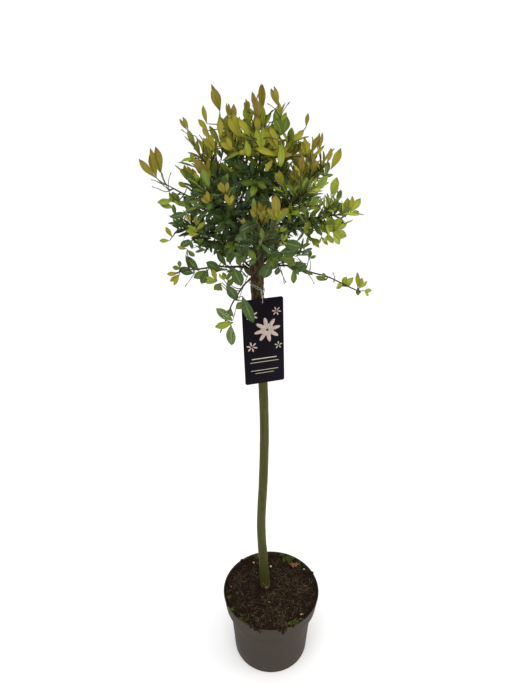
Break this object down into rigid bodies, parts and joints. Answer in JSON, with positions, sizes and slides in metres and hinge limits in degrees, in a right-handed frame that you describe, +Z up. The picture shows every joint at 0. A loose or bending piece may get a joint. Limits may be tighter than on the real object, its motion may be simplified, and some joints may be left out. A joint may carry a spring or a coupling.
{
  "type": "potted grafted standard willow",
  "caption": "Small patio standard: a slim bare stem with a loose round leafy head and a hanging label, growing in a round nursery pot.",
  "frame": {"origin": "centre of the pot's flat underside, on the pot's axis", "axes": "+Z up the stem; -Y is the front, where the label hangs; +X is to the right of someone who faces the label"},
  "size_m": [0.3303, 0.2658, 1.0683],
  "materials": {
    "pot_plastic": "matte taupe grey",
    "compost": "damp crumbly dark brown",
    "stem_bark": "smooth olive green bark, brown and rough at the head",
    "bough_bark": "brown bark",
    "leaves": "satin green, olive and bronze at the tips",
    "label_card": "satin near-black card",
    "label_tie": "pale elastic"
  },
  "bodies": {
    "root": {"pot": "pot_plastic", "soil": "compost", "trunk": "stem_bark", "bough_top_centre": "bough_bark", "bough_top_left": "bough_bark", "bough_top_right": "bough_bark", "bough_top_back": "bough_bark", "bough_top_front": "bough_bark", "bough_upper_right": "bough_bark", "bough_upper_left": "bough_bark", "bough_back_right": "bough_bark", "bough_back_left": "bough_bark", "bough_front_left": "bough_bark", "bough_front_right": "bough_bark", "bough_left_high": "bough_bark", "bough_right": "bough_bark", "bough_left": "bough_bark", "bough_back": "bough_bark", "bough_front": "bough_bark", "bough_low_left": "bough_bark", "bough_low_right": "bough_bark", "bough_hanging_left": "bough_bark", "bough_low_front_right": "bough_bark", "bough_low_back_left": "bough_bark", "bough_low_back_right": "bough_bark", "foliage_top_centre": "leaves", "foliage_top_left": "leaves", "foliage_top_right": "leaves", "foliage_top_back": "leaves", "foliage_top_front": "leaves", "foliage_upper_right": "leaves", "foliage_upper_left": "leaves", "foliage_back_right": "leaves", "foliage_back_left": "leaves", "foliage_front_left": "leaves", "foliage_front_right": "leaves", "foliage_left_high": "leaves", "foliage_right": "leaves", "foliage_left": "leaves", "foliage_back": "leaves", "foliage_front": "leaves", "foliage_low_left": "leaves", "foliage_low_right": "leaves", "foliage_hanging_left": "leaves", "foliage_low_front_right": "leaves", "foliage_low_back_left": "leaves", "foliage_low_back_right": "leaves", "label": "label_card", "label_tie": "label_tie"}
  },
  "joints": []
}
